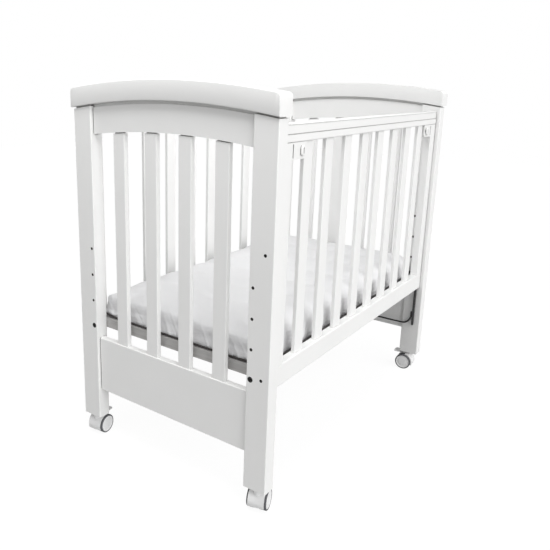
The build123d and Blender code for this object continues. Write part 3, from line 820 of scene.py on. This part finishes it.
@dataclass
class Mattress:
    """A soft foam pad in a loose cotton cover, with a piped seam round its bottom edge."""

    finishes: Finishes
    # The block before it is shaped.
    corner: float = 8 * MM
    corner_faces: int = 6
    top_round: float = 6 * MM
    top_faces: int = 5
    inset: float = 1 * MM
    voxel: float = 6 * MM
    # The dome and the long hollows in it.
    edge_height: float = 0.98
    crown_reach: float = 75 * MM
    crown_rise: float = 17 * MM
    billow_pitch: float = 118 * MM
    billow_depth: float = 7 * MM
    billow_wander: Drift = Drift(34 * MM, (7, 3), seed=2.0)
    lumps: Drift = Drift(2.5 * MM, (14, 14), seed=5.0)
    # The cloth under pressure.
    cloth_steps: int = 6
    cloth_mass: float = 0.25
    stretch_stiffness: float = 12
    bending_stiffness: float = 0.3
    pressure: float = 3.5
    puff_limit: float = 7 * MM
    frames: int = 20
    # The creases that run in from the seam.
    crease_pitch: float = 17 * MM
    crease_ridges: Folds = Folds(5 * MM, 0.09, seed=7.0)
    crease_hollows: Folds = Folds(-3.5 * MM, 0.4, seed=1.0)
    crease_start: float = 4 * MM
    crease_reach: float = 95 * MM
    crease_lean: float = 0.55
    crease_wander: Drift = Drift(0.4, (9,), seed=4.0)
    # The swellings between the drop side's slats.
    slat_bulge: float = 14 * MM
    slat_dip: float = 12 * MM
    slat_count: int = 8
    slat_width: float = 36 * MM
    bulge_reach: float = 40 * MM
    bulge_start: float = 8 * MM
    # The raised corners, the flat underside and the piping.
    corner_lift: float = 8 * MM
    corner_span: float = 70 * MM
    flat_from: float = 0.999
    cord: float = 2.8 * MM
    cord_lengths: int = 720
    cord_faces: int = 8
    cord_wobble: Drift = Drift(1.3 * MM, (38, 38))

    def build(self) -> None:
        """Makes the pad and its piping in place of the plain block."""
        low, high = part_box("mattress")
        pad = self.block("foam_pad", low, high)
        self.billow(pad, low, high)
        self.inflate(pad, low)
        self.refine(pad)
        self.gather(pad, low, high)
        self.flatten_underside(pad, low)
        dress(pad, self.finishes.cotton)
        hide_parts("mattress")
        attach(pad, "frame")
        LOG.info("%s: %d faces", pad.name, len(pad.data.polygons))
        piping = self.piping(low, high)
        dress(piping, self.finishes.piping)
        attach(piping, "frame")
        LOG.info("%s: %d faces", piping.name, len(piping.data.polygons))

    def block(self, name: str, low: Vector, high: Vector) -> bpy.types.Object:
        """A rounded block a little smaller than the pad, cut into small even faces.

        Args:
            name: The piece's name.
            low: Lowest corner of the pad's space.
            high: Highest corner of that space.

        Returns:
            The block.
        """
        deselect_all()
        size = high - low - Vector((2 * self.inset, 2 * self.inset, self.inset))
        middle = (low + high) / 2 - Vector((0, 0, self.inset / 2))
        bpy.ops.mesh.primitive_cube_add(size=1.0, location=middle)
        bpy.context.object.scale = size
        piece = start_piece(name)
        select_edges(piece, lambda a, b: abs(a.z - b.z) > size.z / 2)
        bevel_selected(self.corner, self.corner_faces)
        top = max(v.co.z for v in piece.data.vertices)
        select_edges(piece, lambda a, b: min(a.z, b.z) > top - TOUCH)
        bevel_selected(self.top_round, self.top_faces)
        remesh = piece.modifiers.new("Remesh", "REMESH")
        remesh.mode = "VOXEL"
        remesh.voxel_size = self.voxel
        bpy.ops.object.modifier_apply(modifier=remesh.name)
        return piece

    def billow(self, pad: bpy.types.Object, low: Vector, high: Vector) -> None:
        """Domes the top and presses long soft hollows into it, side by side along the cot.

        Args:
            pad: The block.
            low: Lowest corner of the pad's space.
            high: Highest corner of that space.
        """
        full = 1.0 + self.crown_rise / (high.z - low.z)
        for vertex in pad.data.vertices:
            at = vertex.co
            height = (at.z - low.z) / (high.z - low.z)
            crown = 1.0
            for inward in (high.x - self.inset - abs(at.x), high.y - self.inset - abs(at.y)):
                share = min(max(inward / self.crown_reach, 0.0), 1.0)
                crown *= math.sqrt(1.0 - (1.0 - share) ** 2)
            rise = self.edge_height + (full - self.edge_height) * crown
            vertex.co.z = low.z + (at.z - low.z) * rise
            wander = self.billow_wander.at(at.y, at.x)
            wave = math.cos(math.tau * (at.x + wander) / self.billow_pitch)
            hollow = self.billow_depth * (0.5 - 0.5 * wave) ** 2
            vertex.co.z -= max(height, 0.0) ** 2 * (hollow - self.lumps.at(at.x, at.y))

    def inflate(self, pad: bpy.types.Object, low: Vector) -> None:
        """Swells the pad as cloth under pressure, keeping its flat underside.

        Args:
            pad: The block.
            low: Lowest corner of the pad's space.
        """
        start = [v.co.copy() for v in pad.data.vertices]
        resting = [v.index for v in pad.data.vertices if v.co.z < low.z + self.cord]
        base = pad.vertex_groups.new(name="underside")
        base.add(resting, 1.0, "REPLACE")
        cloth = pad.modifiers.new("Cloth", "CLOTH")
        cloth.settings.quality = self.cloth_steps
        cloth.settings.mass = self.cloth_mass
        cloth.settings.vertex_group_mass = base.name
        cloth.settings.use_pressure = True
        cloth.settings.uniform_pressure_force = self.pressure
        cloth.settings.tension_stiffness = self.stretch_stiffness
        cloth.settings.compression_stiffness = self.stretch_stiffness
        cloth.settings.bending_stiffness = self.bending_stiffness
        cloth.settings.effector_weights.gravity = 0
        scene = bpy.context.scene
        cloth.point_cache.frame_start, cloth.point_cache.frame_end = 1, self.frames
        for number in range(1, self.frames + 1):
            scene.frame_set(number)
        select_only(pad)
        bpy.ops.object.modifier_apply(modifier=cloth.name)
        scene.frame_set(1)
        for vertex, origin in zip(pad.data.vertices, start):
            move = vertex.co - origin
            if move.length > self.puff_limit:
                vertex.co = origin + move.normalized() * self.puff_limit
            vertex.co.z = max(vertex.co.z, low.z)

    def refine(self, pad: bpy.types.Object) -> None:
        """Adds one subdivision and smooth shading.

        Args:
            pad: The pad.
        """
        select_only(pad)
        rounder = pad.modifiers.new("Subdivision", "SUBSURF")
        rounder.levels = rounder.render_levels = 1
        bpy.ops.object.modifier_apply(modifier=rounder.name)
        bpy.ops.object.shade_smooth()

    def gather(self, pad: bpy.types.Object, low: Vector, high: Vector) -> None:
        """Draws creases in from the seam, swells the front between the slats and lifts the corners.

        Args:
            pad: The pad.
            low: Lowest corner of the pad's space.
            high: Highest corner of that space.
        """
        slats_low, slats_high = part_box("drop_slats")
        pitch = (slats_high.x - slats_low.x - self.slat_width) / (self.slat_count - 1)
        first = slats_low.x + self.slat_width / 2
        normals = [vertex.normal.copy() for vertex in pad.data.vertices]
        for vertex, normal in zip(pad.data.vertices, normals):
            at = vertex.co
            height = at.z - low.z
            share = min(1.0, height / (high.z - low.z))
            from_side, from_end = high.y - abs(at.y), high.x - abs(at.x)
            inward = min(from_side, from_end)
            lift = max(0.0, 1.0 - math.hypot(from_side, from_end) / self.corner_span)
            way = max(height, 0.0) + max(inward - self.inset, 0.0)
            fading = max(0.0, 1.0 - way / self.crease_reach)
            strength = fading * min(1.0, height / self.crease_start)
            if strength > 0:
                along = at.x if from_side < from_end else at.y
                lean = way * (self.crease_wander.at(along) - self.crease_lean)
                place = (along + lean) / self.crease_pitch
                push = self.crease_ridges.at(place) + self.crease_hollows.at(place)
                vertex.co = vertex.co + normal * strength * push
            if at.y < 0 and from_side < self.bulge_reach and height > self.cord:
                wave = 0.5 - 0.5 * math.cos(math.tau * (at.x - first) / pitch)
                reach = 1.0 - from_side / self.bulge_reach
                start = min(max((height - self.bulge_start) / self.bulge_start, 0.0), 1.0)
                rise = start * math.cos(math.pi / 2 * share)
                vertex.co.y -= self.slat_bulge * wave * reach * rise
                vertex.co.z -= self.slat_dip * (1.0 - wave) * reach * share
            vertex.co.z += self.corner_lift * lift**2

    def flatten_underside(self, pad: bpy.types.Object, low: Vector) -> None:
        """Puts one face in place of the underside's many small flat ones.

        Args:
            pad: The pad.
            low: Lowest corner of the pad's space.
        """
        select_only(pad)
        bpy.ops.object.mode_set(mode="EDIT")
        bpy.ops.mesh.select_mode(type="FACE")
        bpy.ops.mesh.select_all(action="DESELECT")
        bpy.ops.object.mode_set(mode="OBJECT")
        for face in pad.data.polygons:
            face.select = face.normal.z < -self.flat_from and face.center.z < low.z + self.cord
        bpy.ops.object.mode_set(mode="EDIT")
        bpy.ops.mesh.delete(type="FACE")
        bpy.ops.mesh.select_mode(type="EDGE")
        bpy.ops.mesh.select_non_manifold(extend=False, use_wire=False, use_multi_face=False)
        bpy.ops.mesh.edge_face_add()
        bpy.ops.mesh.select_all(action="SELECT")
        bpy.ops.mesh.normals_make_consistent(inside=False)
        bpy.ops.object.mode_set(mode="OBJECT")

    def piping(self, low: Vector, high: Vector) -> bpy.types.Object:
        """The corded seam that runs round the bottom edge, a little wavy as sewn cord is.

        Args:
            low: Lowest corner of the pad's space.
            high: Highest corner of that space.

        Returns:
            The piping.
        """
        deselect_all()
        bpy.ops.mesh.primitive_torus_add(
            major_segments=self.cord_lengths,
            minor_segments=self.cord_faces,
            major_radius=1.0,
            minor_radius=self.cord,
        )
        piece = start_piece("seam_piping")
        edge = RoundedOutline(high.x - self.inset, high.y - self.inset, self.corner)
        for vertex in piece.data.vertices:
            turn = math.atan2(vertex.co.y, vertex.co.x) % math.tau
            out, up = math.hypot(vertex.co.x, vertex.co.y) - 1.0, vertex.co.z
            point, outward = edge.at(turn / math.tau)
            near = math.hypot(high.x - abs(point.x), high.y - abs(point.y))
            lift = self.corner_lift * max(0.0, 1.0 - near / self.corner_span) ** 2
            wobble = self.cord_wobble.at(point.x, point.y)
            vertex.co = point + outward * (out + wobble)
            vertex.co.z = low.z + self.cord + up + lift + abs(wobble)
        return piece


@dataclass
class CadPieces:
    """The pieces whose solids already have the right shape, given their finishes."""

    finishes: Finishes
    nodes: dict[str, bpy.types.Object] = field(default_factory=dict)

    def build(self) -> None:
        """Gives every node its material."""
        for name, node in self.nodes.items():
            material = self.finish_for(name)
            dress(node, material)
            LOG.info("%s: %s", name, material.name)

    def finish_for(self, name: str) -> bpy.types.Material:
        """The finish of one node.

        Args:
            name: The node's name.

        Returns:
            Its material.
        """
        for start, material in self.table():
            if name.startswith(start):
                return material
        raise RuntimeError(f"{name} has no finish")

    def table(self) -> Iterable[tuple[str, bpy.types.Material]]:
        """Name starts and their finishes, the first match first."""
        f = self.finishes
        paint = f.paint
        return (
            ("post", f.post),
            ("cap_rail", paint[Grain.ALONG_Y]),
            ("top_panel", paint[Grain.ALONG_Y]),
            ("lower_board", paint[Grain.ALONG_Y]),
            ("end_slats", paint[Grain.ALONG_Z]),
            ("back_dowels", f.dowel),
            ("back_stiles", paint[Grain.ALONG_Z]),
            ("back_slats", paint[Grain.ALONG_Z]),
            ("back_", paint[Grain.ALONG_X]),
            ("drop_stiles", paint[Grain.ALONG_Z]),
            ("drop_slats", paint[Grain.ALONG_Z]),
            ("drop_", paint[Grain.ALONG_X]),
            ("teething_rail", f.teething),
            ("guide_shoes", f.nylon),
            ("latch_pin", f.zinc),
            ("latch_", f.latch),
            ("guide_rods", f.rod),
            ("link_rods", f.rod),
            ("rod_clips", f.latch),
            ("rod_bolts", f.screw),
            ("base_bolts", f.screw),
            ("base_nuts", f.zinc),
            ("base_side_rails", f.pine[Grain.ALONG_X]),
            ("base_end_rails", f.pine[Grain.ALONG_Y]),
            ("base_slats", f.pine[Grain.ALONG_Y]),
            ("mattress", f.cotton),
            ("caster_sockets", f.nylon),
            ("caster_hood", f.hood),
            ("caster_brake", f.hood),
            ("caster_steel", f.zinc),
            ("caster_tyres", f.tyre),
            ("caster_hubs", f.hub),
        )


# ---------------------------------------------------------------- studio
@dataclass
class Studio:
    """A pale floor, a white surround, two far soft lamps, a soft box above and the camera.

    The floor and the surround look white to the camera and to mirroring faces, and send a
    weaker, even light to everything else.
    """

    # The camera.
    camera_at: tuple[float, float, float] = (-1.51324, -0.90355, 0.93566)
    azimuth: float = -52.29655
    elevation: float = 14.07689
    roll: float = 0.66256
    lens: float = 40.659
    sensor: float = 36.0
    shift: tuple[float, float] = (0.13, -0.06477)
    clip: tuple[float, float] = (0.05, 60.0)
    # The sky and the lamps.
    sky: float = 0.34
    front: float = 2.3
    front_spread: float = 70
    front_from: tuple[float, float, float] = (-0.17, -1.0, 0.42)
    end: float = 0.12
    end_spread: float = 18
    end_from: tuple[float, float, float] = (-1.0, -0.15, 0.55)
    top: float = 16.0
    top_at: tuple[float, float, float] = (-0.8, -0.1, 1.85)
    top_size: tuple[float, float] = (0.9, 1.2)
    # The floor.
    floor_size: float = 14.0
    floor_grey: str = "AEAEAE"
    floor_seen: str = "606060"
    floor_glow: float = 0.93

    def build(self) -> None:
        """Sets the view transform and makes the surround, the lamps, the floor and the camera."""
        bpy.context.scene.view_settings.view_transform = "Standard"
        self.world()
        self.lamps()
        self.floor()
        self.camera()

    def seen(self, graph: NodeGraph) -> bpy.types.NodeSocket:
        """Tells the rays that show something from those that only carry light on.

        Args:
            graph: The nodes of the floor or the surround.

        Returns:
            A socket that is 1 for camera, mirror and glass rays and 0 for the rest.
        """
        rays = graph.add("LightPath").outputs
        seen = rays["Is Camera Ray"]
        for kind in ("Is Glossy Ray", "Is Transmission Ray"):
            seen = graph.add("Math", {0: seen, 1: rays[kind]}, operation="MAXIMUM").outputs[0]
        return seen

    def world(self) -> None:
        """A white surround for camera and mirror rays, and an even sky for the rest."""
        world = bpy.data.worlds.new("white_surround")
        bpy.context.scene.world = world
        graph = NodeGraph(world)
        seen = self.seen(graph)
        sky = graph.add("Background", {"Color": linear("FFFFFF"), "Strength": self.sky})
        white = graph.add("Background", {"Color": linear("FFFFFF"), "Strength": 1.0})
        both = graph.add("MixShader", {0: seen, 1: sky.outputs[0], 2: white.outputs[0]})
        graph.add("OutputWorld", {"Surface": both.outputs[0]})

    def lamps(self) -> None:
        """A broad lamp before the drop side, a smaller one off the foot end, and the soft box."""
        self.sun("front_lamp", self.front, self.front_spread, self.front_from)
        self.sun("end_lamp", self.end, self.end_spread, self.end_from)
        light = bpy.data.lights.new("top_box", "AREA")
        light.shape = "RECTANGLE"
        light.size, light.size_y = self.top_size
        light.energy = self.top
        box = bpy.data.objects.new("top_box", light)
        box.location = self.top_at
        bpy.context.scene.collection.objects.link(box)

    def sun(
        self, name: str, strength: float, spread: float, towards: tuple[float, float, float]
    ) -> None:
        """Adds one distant lamp.

        Args:
            name: The lamp's name.
            strength: Its light on a face turned to it, in watts per square metre.
            spread: The angle that it fills, in degrees, which softens its shadows.
            towards: The direction in which it stands.
        """
        light = bpy.data.lights.new(name, "SUN")
        light.energy = strength
        light.angle = math.radians(spread)
        lamp = bpy.data.objects.new(name, light)
        lamp.rotation_mode = "QUATERNION"
        lamp.rotation_quaternion = Vector(towards).to_track_quat("Z", "Y")
        bpy.context.scene.collection.objects.link(lamp)

    def floor(self) -> None:
        """A white floor that keeps the cot's soft shadow."""
        deselect_all()
        bpy.ops.mesh.primitive_plane_add(size=self.floor_size, location=(0, 0, 0))
        floor = start_piece("studio_floor")
        made = bpy.data.materials.new("matt_white_floor")
        graph = NodeGraph(made)
        seen = self.seen(graph)
        paper = graph.add("BsdfDiffuse", {"Color": linear(self.floor_grey)})
        shaded = graph.add("BsdfDiffuse", {"Color": linear(self.floor_seen)})
        glow = graph.add("Emission", {"Color": linear("FFFFFF"), "Strength": self.floor_glow})
        lit = graph.add("AddShader", {0: shaded.outputs[0], 1: glow.outputs[0]})
        both = graph.add("MixShader", {0: seen, 1: paper.outputs[0], 2: lit.outputs[0]})
        graph.add("OutputMaterial", {"Surface": both.outputs[0]})
        dress(floor, made)

    def camera(self) -> None:
        """The camera, turned as a tripod head would be: azimuth, elevation and a trace of roll."""
        data = bpy.data.cameras.new("view_camera")
        data.lens, data.sensor_width = self.lens, self.sensor
        data.shift_x, data.shift_y = self.shift
        data.clip_start, data.clip_end = self.clip
        camera = bpy.data.objects.new("view_camera", data)
        a, e = math.radians(self.azimuth), math.radians(self.elevation)
        back = Vector((math.sin(a) * math.cos(e), -math.cos(a) * math.cos(e), math.sin(e)))
        right = Vector((0, 0, 1)).cross(back).normalized()
        up = back.cross(right)
        level = Matrix((right, up, back)).transposed()
        turn = level @ Matrix.Rotation(math.radians(self.roll), 3, "Z")
        camera.matrix_world = Matrix.Translation(self.camera_at) @ turn.to_4x4()
        bpy.context.scene.collection.objects.link(camera)
        bpy.context.scene.camera = camera


def main() -> None:
    """Loads the frame, dresses it and sets the studio."""
    logging.basicConfig(level=logging.INFO, format="%(name)s: %(message)s", stream=sys.stdout)
    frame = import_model()
    finishes = Finishes()
    Studio().build()
    CadPieces(finishes, frame["nodes"]).build()
    CapRails(finishes).build()
    Mattress(finishes).build()
    deselect_all()


if __name__ == "__main__":
    main()
